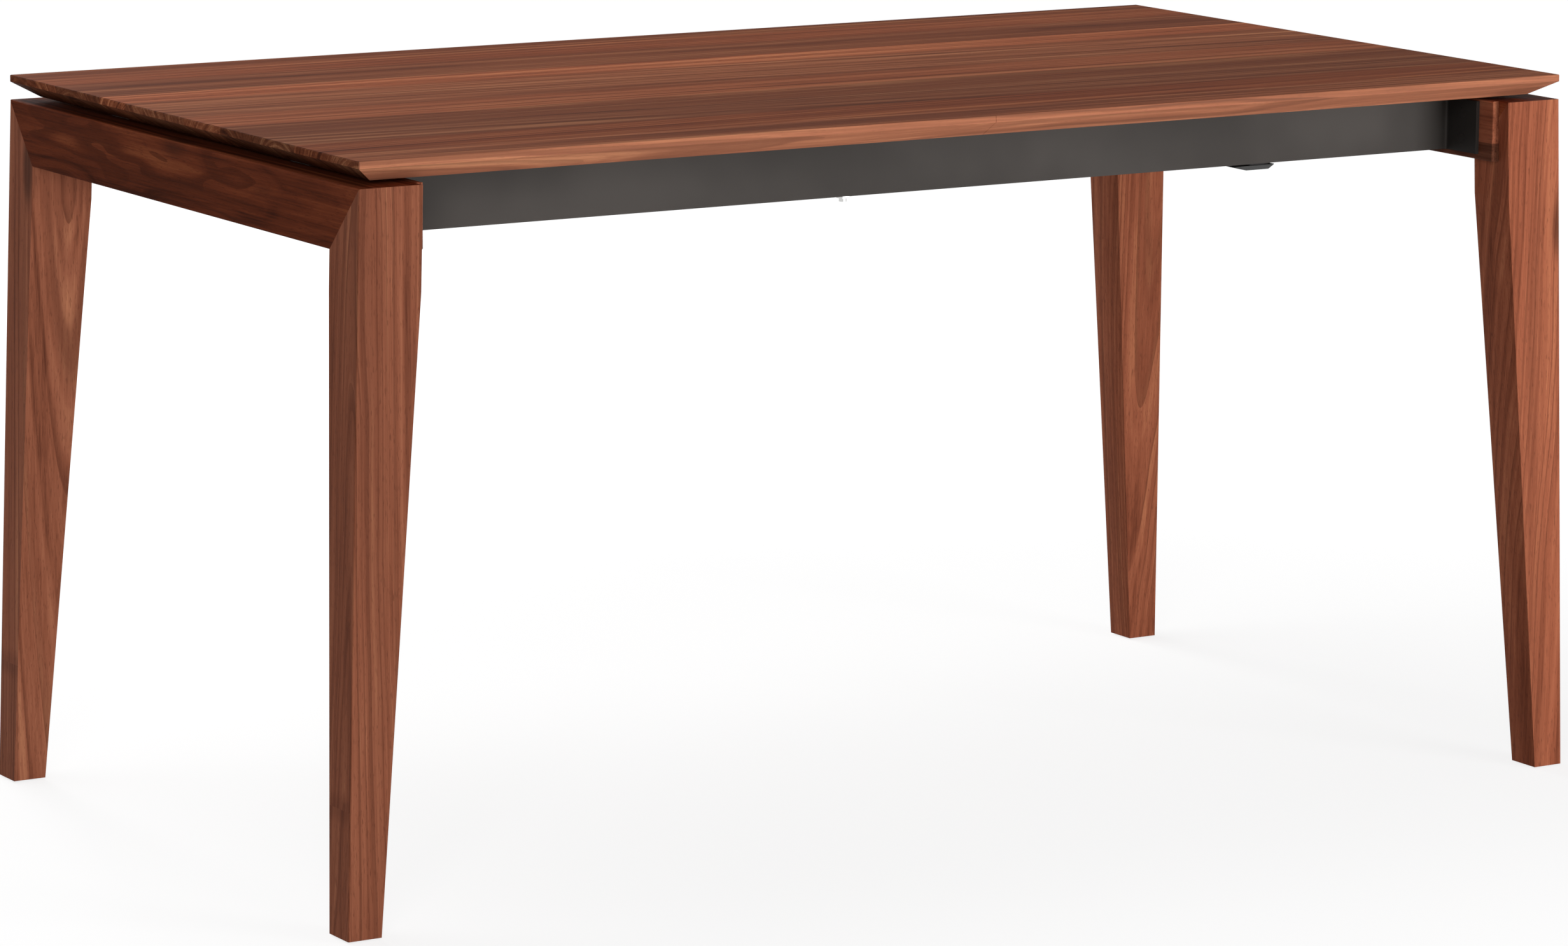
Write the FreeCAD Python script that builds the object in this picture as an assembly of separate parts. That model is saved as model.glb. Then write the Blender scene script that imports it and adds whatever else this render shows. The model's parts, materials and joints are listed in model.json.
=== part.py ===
import FreeCAD, Part
import math
import os

# Extending dining table. Millimetres, +Z up, +X along the length, front at -Y.
# Origin: on the floor, under the middle of the top.
# Two walnut end frames are tied by two steel aprons. The top is two halves that slide
# apart on runners, kept in step by two racks and one pinion. A folded leaf lies below.

V = FreeCAD.Vector
ORIGIN = V(0, 0, 0)
X_AXIS = V(1, 0, 0)
Z_AXIS = V(0, 0, 1)

# Working margins
same_place = 0.01
cut_margin = 1.0
hole_play = 1.0
bar_sides = 8
round_sides = 16

# Table top
top_length = 1430.0
top_width = 780.0
top_height = 750.0
top_thickness = 22.0
edge_band = 7.0
bevel_inset = 24.0
arris_radius = 1.2
seam_gap = 0.3
travel = 250.0

# End frames: legs parallel at the top, then tapered on their inner faces
frame_gap = 4.0
leg_top_x = 68.0
leg_top_y = 58.0
foot_x = 36.0
foot_y = 39.0
splay_x = 22.0
splay_y = 10.0
straight_length = 102.0
rail_depth = 64.0
frame_radius = 1.5
tongue_thickness = 8.0
tongue_width = 36.0
tongue_length = 26.0
glue_clearance = 0.1

# Tie boards on the inner faces of the end frames
tie_thickness = 8.0
tie_setback = 15.0

# Steel aprons with outward end flanges and an inward ledge
apron_sheet = 4.0
apron_depth = 56.0
apron_lift = 6.0
flange_depth = 50.0
bend_radius = 3.0
ledge_depth = 30.0
ledge_sheet = 3.0
flange_bolt_radius = 3.0
flange_bolt_head = 5.6
flange_bolt_sink = 2.6
flange_bolt_length = 30.0
flange_bolt_pitch = 26.0
bolt_clearance = 0.3

# Cross beams between the aprons
beam_spacing = 210.0
beam_width = 40.0
beam_height = 11.0
beam_sheet = 2.5
beam_bolt_radius = 2.5
beam_bolt_head = 5.0
beam_bolt_head_height = 3.0

# Two-lane guides and the T-shaped runners in them
guide_setback = 36.0
leaf_side_clearance = 5.0
guide_wall = 3.0
guide_height = 22.0
lane_width = 26.5
lip_width = 5.0
runner_side_clearance = 0.6
runner_lift = 0.3
runner_lip_clearance = 0.4
runner_web = 14.0
runner_inner_reach = 330.0
runner_stop_clearance = 4.0
runner_relief = 0.5
screw_radius = 2.2
screw_head = 4.0
screw_head_height = 3.0
screw_grip = 16.0
screw_bite = 12.0
screw_end_margin = 40.0
screws_per_runner = 3

# Dowels in the joint edges of the top and the leaf
dowel_radius = 4.0
dowel_reach = 12.0
dowel_depth = 18.0
dowel_clearance = 0.3
dowel_rows = (110.0, 330.0)

# Rack and pinion that keep both halves in step
gear_module = 2.5
pinion_teeth = 18
pressure_angle = math.radians(20.0)
dedendum_factor = 1.25
flank_steps = 3
tooth_backlash = 0.4
rack_addendum = 2.0
pinion_y = -105.0
rack_drop = 7.0
rack_height = 12.0
rack_spine = 8.4
rack_end_margin = 15.0
hanger_inset = 35.0
hanger_width = 40.0
hanger_sheet = 4.0
hanger_foot = 34.0
pinion_face = 10.0
hub_radius = 9.0
hub_length = 9.0
axle_radius = 5.0
axle_clearance = 0.3
stud_radius = 4.0
stud_tail = 4.0
washer_radius = 9.0
washer_thickness = 2.0
nut_radius = 7.5
nut_height = 7.0
bracket_length = 60.0
bracket_sheet = 4.0
bracket_clearance = 0.4
bracket_lip = 7.0

# Top lock behind the front apron, and its strike strip under the right half
lock_inset = 11.0
lock_pivot_setback = 17.0
lock_pivot_drop = 42.0
lock_pin_radius = 3.0
lock_pin_proud = 1.0
lock_hub_radius = 6.0
lock_hub_length = 36.0
lock_ear = 3.0
lock_ear_gap = 1.0
lock_arm_width = 8.0
lock_arm_thickness = 6.0
lock_nose_length = 4.0
lock_nose_height = 4.0
lock_nose_drop = 7.0
paddle_length = 56.0
paddle_depth = 23.0
paddle_thickness = 5.0
paddle_gap = 1.5
paddle_setback = 1.0
paddle_shift = 8.0
paddle_slope = 20.0
paddle_taper = 8.0
strike_sheet = 2.0
strike_depth = 20.0
strike_foot = 15.0
strike_setback = 6.0
strike_end = 10.0
slot_width = 12.0
slot_height = 10.0
slot_drop = 5.0

# Stored leaf, folded with its undersides together
leaf_end_clearance = 0.2
leaf_shift = -3.0
felt_thickness = 1.0
felt_length = 60.0
felt_width = 30.0
felt_y = 120.0
hinge_offset = 170.0
hinge_length = 50.0
hinge_width = 20.0
hinge_sheet = 1.5
hinge_play = 0.05
knuckle_radius = 3.0
hinge_pin_radius = 1.5

# Pads and glides
pad_x = 30.0
pad_y = 40.0
pad_offset = 200.0
pad_inset = 2.0
pad_clearance = 0.3
glide_radius = 12.0
glide_height = 2.0
glide_stem_radius = 2.5
glide_stem_length = 12.0

# Levels and places worked out from the driving sizes
underside = top_height - top_thickness
band_bottom = top_height - edge_band
frame_top = underside - frame_gap
rail_bottom = frame_top - rail_depth
taper_start = frame_top - straight_length
half_length = top_length / 2
half_width = top_width / 2
rail_inner = half_length - leg_top_x
tie_inner = rail_inner - tie_thickness
tie_half = half_width - tie_setback
apron_bottom = rail_bottom + apron_lift
apron_top = apron_bottom + apron_depth
ledge_top = apron_bottom + ledge_sheet
beam_top = ledge_top + beam_height
guide_span = 2 * lane_width + 3 * guide_wall
guide_inner = half_width / 2 + leaf_side_clearance
guide_outer = guide_inner + guide_span
apron_inner = guide_outer + guide_setback
apron_face = apron_inner + apron_sheet
lane_outer = guide_outer - guide_wall - lane_width / 2
lane_inner = guide_inner + guide_wall + lane_width / 2
runner_outer = tie_inner - travel - runner_stop_clearance
hanger_reach = runner_outer - hanger_inset
lock_x = runner_outer - lock_inset
paddle_x = lock_x + paddle_shift
dowel_level = top_height - top_thickness / 2
pitch_radius = gear_module * pinion_teeth / 2
pinion_tip = pitch_radius + gear_module
tooth_dedendum = dedendum_factor * gear_module
pinion_root = pitch_radius - tooth_dedendum
tooth_pitch = math.pi * gear_module
rack_top = ledge_top - rack_drop
rack_bottom = rack_top - rack_height
rack_back = pitch_radius + tooth_dedendum + rack_spine
bracket_top = ledge_top
bracket_bottom = bracket_top - bracket_sheet
pinion_top = rack_top - (rack_height - pinion_face) / 2
pinion_bottom = pinion_top - pinion_face
hub_bottom = pinion_bottom - hub_length
shoulder = hub_bottom - axle_clearance
washer_bottom = shoulder - washer_thickness
nut_bottom = washer_bottom - nut_height
lock_y = -(apron_inner - lock_pivot_setback)
lock_z = underside - lock_pivot_drop
strike_y = -(apron_inner - strike_setback)
leaf_half_length = travel - leaf_end_clearance
leaf_hinge_y = half_width / 2 + leaf_shift
leaf_edge_y = leaf_hinge_y - half_width
leaf_bottom = beam_top + felt_thickness
leaf_fold = leaf_bottom + top_thickness


def box(x0, x1, y0, y1, z0, z1):
    return Part.makeBox(x1 - x0, y1 - y0, z1 - z0, V(x0, y0, z0))


def rod(x, y, z, radius, length, axis):
    return Part.makeCylinder(radius, length, V(x, y, z), axis)


def prism(points, shift):
    """Closed polygon pushed along a vector."""
    return Part.Face(Part.makePolygon(points + points[:1])).extrude(shift)


def bar(x, y, z, radius, length, axis, sides=bar_sides):
    """Many-sided bar, with few faces, for fixed fasteners and their holes."""
    across = V(0, radius, 0)
    upward = axis.cross(across)
    turns = [2 * math.pi * (index + 0.5) / sides for index in range(sides)]
    points = [V(x, y, z) + across * math.cos(a) + upward * math.sin(a) for a in turns]
    return prism(points, axis * length)


def prism_x(outline, x0, x1):
    points = [V(x0, y, z) for y, z in outline]
    return prism(points, V(x1 - x0, 0, 0))


def prism_y(outline, y0, y1):
    points = [V(x, y0, z) for x, z in outline]
    return prism(points, V(0, y1 - y0, 0))


def prism_z(outline, z0, z1):
    points = [V(x, y, z0) for x, y in outline]
    return prism(points, V(0, 0, z1 - z0))


def frustum(z_low, low, z_high, high):
    """Solid between two level rectangles, each given as x0, x1, y0, y1."""
    x0, x1, y0, y1 = low
    u0, u1, w0, w1 = high
    wedge = Part.makeWedge(x0, z_low, -y1, -w1, u0, x1, z_high, -y0, -w0, u1)
    wedge.rotate(ORIGIN, X_AXIS, 90)
    return wedge


def span(side, inner, outer):
    """Interval between two distances from the middle, on the given side."""
    return (inner, outer) if side > 0 else (-outer, -inner)


def turned(shape, x=0.0, y=0.0):
    """The same piece turned half round an upright axis."""
    copy = shape.copy()
    copy.rotate(V(x, y, 0), Z_AXIS, 180)
    return copy


def rounded(shape, radius, chosen):
    edges = [edge for edge in shape.Edges if chosen(edge)]
    return shape.makeFillet(radius, edges)


def level_edge(edge, z):
    return all(abs(v.Z - z) < same_place for v in edge.Vertexes)


def upright_edge(edge):
    low, high = edge.Vertexes[0], edge.Vertexes[-1]
    return math.hypot(low.X - high.X, low.Y - high.Y) < same_place


def outer_x(z):
    """Distance of an end frame's outer face from the middle: it leans out to the floor."""
    return half_length + splay_x * (1 - z / frame_top)


def outer_y(z):
    return half_width + splay_y * (1 - z / frame_top)


mitre_low = outer_y(rail_bottom) - leg_top_y


def leg_section(side, end, z, size_x, size_y):
    across = span(side, outer_x(z) - size_x, outer_x(z))
    along = span(end, outer_y(z) - size_y, outer_y(z))
    return across + along


def mitre_zone(side, reach):
    """Space above the two mitre planes of an end frame, widened by a reach in X."""
    low = span(side, outer_x(rail_bottom) - leg_top_x - reach, outer_x(rail_bottom) + reach)
    high = span(side, half_length - leg_top_x - reach, half_length + reach)
    return frustum(rail_bottom, low + (-mitre_low, mitre_low), frame_top, high + (-half_width, half_width))


def mitre_tongue(side, end, clearance):
    """Loose tongue square across the mitre, halfway up it."""
    size_x = tongue_thickness + 2 * clearance
    size_y = tongue_width + 2 * clearance
    size_z = tongue_length + 2 * clearance
    tongue = box(-size_x / 2, size_x / 2, -size_y / 2, size_y / 2, -size_z / 2, size_z / 2)
    slope = math.degrees(math.atan2(rail_depth, half_width - mitre_low))
    tongue.rotate(ORIGIN, X_AXIS, end * slope)
    middle = (rail_bottom + frame_top) / 2
    mid_x = outer_x(middle) - leg_top_x / 2
    tongue.translate(V(side * mid_x, end * (half_width + mitre_low) / 2, middle))
    return tongue


def foot_centre(side, end):
    return side * (outer_x(glide_height) - foot_x / 2), end * (outer_y(glide_height) - foot_y / 2)


def foot_glide(side, end):
    x, y = foot_centre(side, end)
    disc = bar(x, y, 0, glide_radius, glide_height, Z_AXIS, round_sides)
    stem = bar(x, y, glide_height, glide_stem_radius, glide_stem_length, Z_AXIS)
    return disc.fuse(stem)


def leg(side, end):
    foot = leg_section(side, end, glide_height, foot_x, foot_y)
    kink = leg_section(side, end, taper_start, leg_top_x, leg_top_y)
    head = leg_section(side, end, frame_top, leg_top_x, leg_top_y)
    lower = frustum(glide_height, foot, taper_start, kink)
    upper = frustum(taper_start, kink, frame_top, head)
    x, y = foot_centre(side, end)
    stem = bar(x, y, glide_height, glide_stem_radius + glue_clearance,
               glide_stem_length + hole_play, Z_AXIS)
    post = lower.fuse(upper).removeSplitter()
    post = rounded(post, frame_radius, lambda e: e.Length > taper_start + foot_x)
    post = post.cut(mitre_zone(side, leg_top_x))
    return post.cut(stem).cut(mitre_tongue(side, end, glue_clearance))


def flange_bolt_places(side, end):
    """Start point on the flange face of each bolt in one flange, and its direction."""
    middle = (apron_bottom + apron_top) / 2
    y = end * (apron_face + flange_depth / 2)
    for step in (-0.5, 0.5):
        yield V(side * (tie_inner - apron_sheet), y, middle + step * flange_bolt_pitch), V(side, 0, 0)


def flange_bolt(place, direction, clearance):
    """Flush bolt, also used with a clearance as the tool for its hole."""
    length = flange_bolt_length + clearance
    shank = bar(place.x, place.y, place.z, flange_bolt_radius + clearance, length, direction)
    head = bar(place.x, place.y, place.z, flange_bolt_head + clearance, flange_bolt_sink, direction)
    return shank.fuse(head)


def cut_flange_bolts(shape, side):
    for end in (-1, 1):
        for place, direction in flange_bolt_places(side, end):
            shape = shape.cut(flange_bolt(place, direction, bolt_clearance))
    return shape


def end_rail(side):
    rail = rounded(mitre_zone(side, 0), frame_radius, lambda e: e.Length > top_width / 2)
    for end in (-1, 1):
        rail = rail.cut(mitre_tongue(side, end, glue_clearance))
    return cut_flange_bolts(rail, side)


def tie_board(side):
    low = span(side, tie_inner, outer_x(rail_bottom) - leg_top_x)
    high = span(side, tie_inner, rail_inner)
    ends = (-tie_half, tie_half)
    return cut_flange_bolts(frustum(rail_bottom, low + ends, frame_top, high + ends), side)


def glide_pad(side, end):
    x = side * (rail_inner + pad_inset + pad_x / 2)
    y = end * pad_offset
    top = underside - pad_clearance
    return box(x - pad_x / 2, x + pad_x / 2, y - pad_y / 2, y + pad_y / 2, frame_top, top)


def apron():
    """Front apron: a web between two flanges bent forwards, with a ledge behind it."""
    flange_face = tie_inner - apron_sheet
    flange_front = -(apron_face + flange_depth)
    outline = [(-tie_inner, flange_front), (-flange_face, flange_front), (-flange_face, -apron_face),
               (flange_face, -apron_face), (flange_face, flange_front), (tie_inner, flange_front),
               (tie_inner, -apron_inner), (-tie_inner, -apron_inner)]
    sheet = prism_z(outline, apron_bottom, apron_top)
    sheet = rounded(sheet, bend_radius + apron_sheet,
                    lambda e: upright_edge(e) and abs(e.Vertexes[0].Y + apron_inner) < same_place)
    sheet = rounded(sheet, bend_radius,
                    lambda e: upright_edge(e) and abs(e.Vertexes[0].Y + apron_face) < same_place)
    ledge_end = tie_inner - 2 * (bend_radius + apron_sheet)
    ledge = box(-ledge_end, ledge_end, -apron_inner, -apron_inner + ledge_depth, apron_bottom, ledge_top)
    for x in beam_places():
        ledge = ledge.cut(beam_bolt(x, -1, bolt_clearance))
    sheet = sheet.fuse(ledge).removeSplitter()
    return cut_flange_bolts(cut_flange_bolts(sheet, -1), 1)


def front_apron():
    """The front apron's ledge is notched for the lock lever."""
    half_notch = paddle_length / 2 + 2 * paddle_gap
    notch = box(paddle_x - half_notch, paddle_x + half_notch,
                -apron_inner, -apron_inner + ledge_depth + cut_margin,
                apron_bottom - cut_margin, ledge_top + cut_margin)
    return apron().cut(notch)


def beam_places():
    return (-beam_spacing, 0.0, beam_spacing)


def beam_bolt(x, end, clearance):
    y = end * (apron_inner - ledge_depth / 2)
    head = bar(x, y, beam_top, beam_bolt_head, beam_bolt_head_height, Z_AXIS)
    length = beam_top - apron_bottom
    shank = bar(x, y, apron_bottom, beam_bolt_radius + clearance, length, Z_AXIS)
    return head.fuse(shank)


def cross_beam(x):
    """Folded channel, open below, standing on the ledges of both aprons."""
    left, right = x - beam_width / 2, x + beam_width / 2
    outline = [(left, ledge_top), (left, beam_top), (right, beam_top), (right, ledge_top),
               (right - beam_sheet, ledge_top), (right - beam_sheet, beam_top - beam_sheet),
               (left + beam_sheet, beam_top - beam_sheet), (left + beam_sheet, ledge_top)]
    beam = prism_y(outline, -apron_inner, apron_inner)
    for end in (-1, 1):
        beam = beam.cut(beam_bolt(x, end, bolt_clearance))
    return beam


def guide():
    """Front guide: one extrusion with two lanes, each with lips over the runner."""
    outer, inner = -guide_outer, -guide_inner
    middle = (outer + inner) / 2
    floor = beam_top + guide_wall
    lip_low = beam_top + guide_height - guide_wall
    top = beam_top + guide_height
    half_wall = guide_wall / 2
    outline = [(outer, beam_top), (inner, beam_top), (inner, top)]
    walls = [(inner - guide_wall, -1), (middle + half_wall, 1),
             (middle - half_wall, -1), (outer + guide_wall, 1)]
    for index, (wall, way) in enumerate(walls):
        lip_end = wall + way * lip_width
        down = [(lip_end, top), (lip_end, lip_low), (wall, lip_low), (wall, floor)]
        outline += down if index % 2 == 0 else down[::-1]
    outline.append((outer, top))
    return prism_x(outline, -tie_inner, tie_inner)


def runner_screw_places():
    first = -runner_outer + screw_end_margin
    step = (runner_outer - 2 * screw_end_margin) / (screws_per_runner - 1)
    return [first + index * step for index in range(screws_per_runner)]


def wood_screw(x, y, head_level, clearance):
    """Screw going up into the top, also used with a clearance as its hole."""
    head = bar(x, y, head_level - screw_head_height, screw_head + clearance, screw_head_height, Z_AXIS)
    length = underside - head_level + screw_bite + clearance
    return head.fuse(bar(x, y, head_level, screw_radius + clearance, length, Z_AXIS))


def runner(y):
    """T-shaped runner of the left half, in the lane at y."""
    block_half = lane_width / 2 - runner_side_clearance
    block_low = beam_top + guide_wall + runner_lift
    block_high = beam_top + guide_height - guide_wall - runner_lip_clearance
    block = box(-runner_outer, runner_inner_reach, y - block_half, y + block_half, block_low, block_high)
    web_low, web_high = y - runner_web / 2, y + runner_web / 2
    web = box(-runner_outer, -seam_gap, web_low, web_high, block_high, underside)
    tail = box(-seam_gap, runner_inner_reach, web_low, web_high, block_high, underside - runner_relief)
    slide = block.fuse([web, tail]).removeSplitter()
    well = screw_head + bolt_clearance
    for x in runner_screw_places():
        head_level = underside - screw_grip
        slide = slide.cut(wood_screw(x, y, head_level, bolt_clearance))
        slide = slide.cut(bar(x, y, block_low, well, head_level - block_low, Z_AXIS))
    return slide


def hanger_screw_places(side):
    y = pinion_y + side * (rack_back + hanger_foot / 2 + hanger_sheet / 2)
    for step in (-0.25, 0.25):
        yield side * hanger_reach + step * hanger_width, y


def left_screws(clearance):
    screws = []
    for y in (-lane_outer, lane_inner):
        screws += [wood_screw(x, y, underside - screw_grip, clearance) for x in runner_screw_places()]
    screws += [wood_screw(x, y, underside - hanger_sheet, clearance) for x, y in hanger_screw_places(-1)]
    return screws


def right_screws(clearance):
    screws = []
    for y in (lane_outer, -lane_inner):
        screws += [wood_screw(-x, y, underside - screw_grip, clearance) for x in runner_screw_places()]
    screws += [wood_screw(x, y, underside - hanger_sheet, clearance) for x, y in hanger_screw_places(1)]
    level = underside - strike_sheet
    screws += [wood_screw(x, strike_screw_y(), level, clearance) for x in strike_screw_places()]
    return screws


def top_half(side):
    """Half of the top: an upright band and a bevel below it on three sides."""
    joint = seam_gap / 2
    full = span(side, joint, half_length) + (-half_width, half_width)
    flat = half_width - bevel_inset
    low = span(side, joint, half_length - bevel_inset) + (-flat, flat)
    slab = frustum(underside, low, band_bottom, full).fuse(box(*full, band_bottom, top_height))
    slab = slab.removeSplitter()

    def outside(edge):
        return not all(abs(v.X - side * joint) < same_place for v in edge.Vertexes)

    return rounded(slab, arris_radius,
                   lambda e: outside(e) and (level_edge(e, top_height) or upright_edge(e)))


def dowel_places():
    return [end * row for end in (-1, 1) for row in dowel_rows]


def top_left():
    slab = top_half(-1)
    for y in dowel_places():
        depth = dowel_reach + hole_play
        socket = bar(-depth, y, dowel_level, dowel_radius + dowel_clearance, depth, X_AXIS)
        slab = slab.cut(socket)
    for screw in left_screws(bolt_clearance):
        slab = slab.cut(screw)
    return slab


def top_right():
    slab = top_half(1)
    for y in dowel_places():
        slab = slab.cut(bar(0, y, dowel_level, dowel_radius + glue_clearance, dowel_depth, X_AXIS))
    for screw in right_screws(bolt_clearance):
        slab = slab.cut(screw)
    return slab


def top_dowels():
    length = dowel_reach + dowel_depth
    return [bar(-dowel_reach, y, dowel_level, dowel_radius, length, X_AXIS) for y in dowel_places()]


def rack():
    """Rack of the left half: in front of the pinion, with its teeth facing back."""
    pitch_line = pinion_y - pitch_radius
    root = pitch_line - tooth_dedendum
    tip = pitch_line + rack_addendum
    back = pinion_y - rack_back
    start = -hanger_reach - hanger_width / 2
    stop = travel + rack_end_margin
    half_tooth = (tooth_pitch - tooth_backlash) / 4
    lean = math.tan(pressure_angle)
    at_tip = half_tooth - rack_addendum * lean
    at_root = half_tooth + tooth_dedendum * lean
    outline = [(start, root), (start, back), (stop, back), (stop, root)]
    first = math.ceil(-rack_end_margin / tooth_pitch)
    last = math.floor((stop - at_root) / tooth_pitch)
    for index in range(last, first - 1, -1):
        x = index * tooth_pitch
        outline += [(x + at_root, root), (x + at_tip, tip), (x - at_tip, tip), (x - at_root, root)]
    return prism_z(outline, rack_bottom, rack_top)


def hanger():
    """Bent strip that carries the left rack from the underside of the left half."""
    back = pinion_y - rack_back
    left = -hanger_reach - hanger_width / 2
    right = -hanger_reach + hanger_width / 2
    foot_low = underside - hanger_sheet
    outline = [(back, rack_bottom), (back, underside), (back - hanger_foot, underside),
               (back - hanger_foot, foot_low), (back - hanger_sheet, foot_low),
               (back - hanger_sheet, rack_bottom)]
    strip = prism_x(outline, left, right)
    for x, y in hanger_screw_places(-1):
        strip = strip.cut(wood_screw(x, y, foot_low, bolt_clearance))
    return strip


def involute(radius):
    base = pitch_radius * math.cos(pressure_angle)
    return math.sqrt((radius / base) ** 2 - 1) - math.acos(base / radius)


def pinion():
    """Spur pinion with involute flanks, a lower hub and a bore for the axle."""
    base = pitch_radius * math.cos(pressure_angle)
    half_tooth = (tooth_pitch - tooth_backlash) / 4 / pitch_radius
    flank = []
    for step in range(flank_steps + 1):
        radius = base + (pinion_tip - base) * step / flank_steps
        flank.append((radius, half_tooth + involute(pitch_radius) - involute(radius)))
    flank.insert(0, (pinion_root, flank[0][1]))
    outline = []
    for tooth in range(pinion_teeth):
        centre = 2 * math.pi * tooth / pinion_teeth
        rising = [(radius, centre - angle) for radius, angle in flank]
        falling = [(radius, centre + angle) for radius, angle in reversed(flank)]
        outline += [(r * math.cos(a), pinion_y + r * math.sin(a)) for r, a in rising + falling]
    gear = prism_z(outline, pinion_bottom, pinion_top)
    hub = rod(0, pinion_y, hub_bottom, hub_radius, hub_length, Z_AXIS)
    height = pinion_top - hub_bottom
    return gear.fuse(hub).cut(rod(0, pinion_y, hub_bottom, axle_radius + axle_clearance, height, Z_AXIS))


def pinion_bracket():
    """Hat section under the middle beam: its lips carry both racks at the pinion."""
    inside = rack_back + bracket_clearance
    outside = inside + bracket_sheet
    lip_top = rack_bottom - bracket_clearance
    lip_bottom = lip_top - bracket_sheet
    half = [(outside, bracket_top), (outside, lip_bottom), (inside - bracket_lip, lip_bottom),
            (inside - bracket_lip, lip_top), (inside, lip_top), (inside, bracket_bottom)]
    outline = [(pinion_y + y, z) for y, z in half]
    outline += [(pinion_y - y, z) for y, z in reversed(half)]
    hat = prism_x(outline, -bracket_length / 2, bracket_length / 2)
    bore = stud_radius + glue_clearance
    return hat.cut(bar(0, pinion_y, bracket_bottom, bore, bracket_sheet, Z_AXIS, round_sides))


def pinion_axle():
    """Shouldered stud: clamped in the bracket above, with washer and nut below."""
    body = rod(0, pinion_y, shoulder, axle_radius, bracket_bottom - shoulder, Z_AXIS)
    tail_length = shoulder - nut_bottom + stud_tail
    tail = bar(0, pinion_y, nut_bottom - stud_tail, stud_radius, tail_length, Z_AXIS, round_sides)
    head_length = bracket_sheet + nut_height
    head = bar(0, pinion_y, bracket_bottom, stud_radius, head_length, Z_AXIS, round_sides)
    return body.fuse([tail, head])


def hex_nut(z):
    corners = [math.radians(60 * index) for index in range(6)]
    outline = [(nut_radius * math.cos(a), pinion_y + nut_radius * math.sin(a)) for a in corners]
    nut = prism_z(outline, z, z + nut_height)
    bore = stud_radius + glue_clearance
    return nut.cut(bar(0, pinion_y, z, bore, nut_height, Z_AXIS, round_sides))


def axle_nuts():
    bore = stud_radius + glue_clearance
    washer = bar(0, pinion_y, washer_bottom, washer_radius, washer_thickness, Z_AXIS, round_sides)
    washer = washer.cut(bar(0, pinion_y, washer_bottom, bore, washer_thickness, Z_AXIS, round_sides))
    return [washer, hex_nut(nut_bottom), hex_nut(bracket_top)]


def lock_bracket():
    """Plate on the back of the apron with two ears for the pivot pin."""
    ear_start = lock_hub_length / 2 + lock_ear_gap
    ear_end = ear_start + lock_ear
    back = -apron_inner
    plate = box(lock_x - ear_end, lock_x + ear_end, back, back + lock_ear,
                lock_z - 2 * lock_hub_radius, lock_z + 2 * lock_hub_radius)
    ear_tip = lock_y + lock_hub_radius
    ears = [box(lock_x + side * ear_start - (lock_ear if side < 0 else 0),
                lock_x + side * ear_start + (lock_ear if side > 0 else 0),
                back, ear_tip, lock_z - lock_hub_radius, lock_z + lock_hub_radius) for side in (-1, 1)]
    bracket = plate.fuse(ears).removeSplitter()
    bore = lock_pin_radius + glue_clearance
    return bracket.cut(bar(lock_x - ear_end, lock_y, lock_z, bore, 2 * ear_end, X_AXIS, round_sides))


def lock_pin():
    half = lock_hub_length / 2 + lock_ear_gap + lock_ear + lock_pin_proud
    return rod(lock_x - half, lock_y, lock_z, lock_pin_radius, 2 * half, X_AXIS)


def lock_lever():
    """Lever in one piece: hub, arm with a nose above, web and finger paddle below."""
    start = lock_x - lock_hub_length / 2
    hub = rod(start, lock_y, lock_z, lock_hub_radius, lock_hub_length, X_AXIS)
    arm_top = underside - lock_nose_drop
    half_arm = lock_arm_width / 2
    front = lock_y - lock_arm_thickness / 2
    arm = box(lock_x - half_arm, lock_x + half_arm, front, front + lock_arm_thickness, lock_z, arm_top)
    nose = box(lock_x - half_arm, lock_x + half_arm, front - lock_nose_length, front,
               arm_top - lock_nose_height, arm_top)
    paddle_top = apron_bottom - paddle_gap
    paddle_front = -apron_face + paddle_setback
    half_paddle = paddle_length / 2
    web = box(start, start + lock_hub_length, lock_y - lock_ear / 2, lock_y + lock_ear / 2,
              paddle_top, lock_z)
    outline = [(paddle_x - half_paddle, paddle_top), (paddle_x + half_paddle, paddle_top),
               (paddle_x + half_paddle - paddle_taper, paddle_top - paddle_thickness),
               (paddle_x - half_paddle + paddle_slope, paddle_top - paddle_thickness)]
    paddle = prism_y(outline, paddle_front, paddle_front + paddle_depth)
    lever = hub.fuse([arm, nose, web, paddle]).removeSplitter()
    bore = rod(start, lock_y, lock_z, lock_pin_radius + axle_clearance, lock_hub_length, X_AXIS)
    return lever.cut(bore)


def strike_start():
    return lock_x - travel - slot_width / 2 - strike_end


def strike_stop():
    return lock_x + slot_width / 2 + strike_end / 2


def strike_screw_places():
    return (strike_start() + strike_end / 2 + slot_width, lock_x - travel / 2, lock_x - 2 * slot_width)


def strike_screw_y():
    return strike_y + strike_sheet + (strike_foot - strike_sheet) / 2


def strike():
    """Angle strip under the right half: one slot for shut, one for open."""
    y = strike_y
    low = underside - strike_depth
    foot_low = underside - strike_sheet
    outline = [(y, low), (y, underside), (y + strike_foot, underside), (y + strike_foot, foot_low),
               (y + strike_sheet, foot_low), (y + strike_sheet, low)]
    strip = prism_x(outline, strike_start(), strike_stop())
    slot_top = underside - slot_drop
    for x in (lock_x, lock_x - travel):
        slot = box(x - slot_width / 2, x + slot_width / 2, y - cut_margin, y + strike_sheet + cut_margin,
                   slot_top - slot_height, slot_top)
        strip = strip.cut(slot)
    for x in strike_screw_places():
        strip = strip.cut(wood_screw(x, strike_screw_y(), foot_low, bolt_clearance))
    return strip


def leaf_dowel(row, z):
    length = dowel_reach + dowel_depth
    return bar(-leaf_half_length - dowel_reach, leaf_hinge_y - row, z, dowel_radius, length, X_AXIS)


def leaf_levels():
    return (leaf_bottom + top_thickness / 2, leaf_fold + top_thickness / 2)


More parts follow.
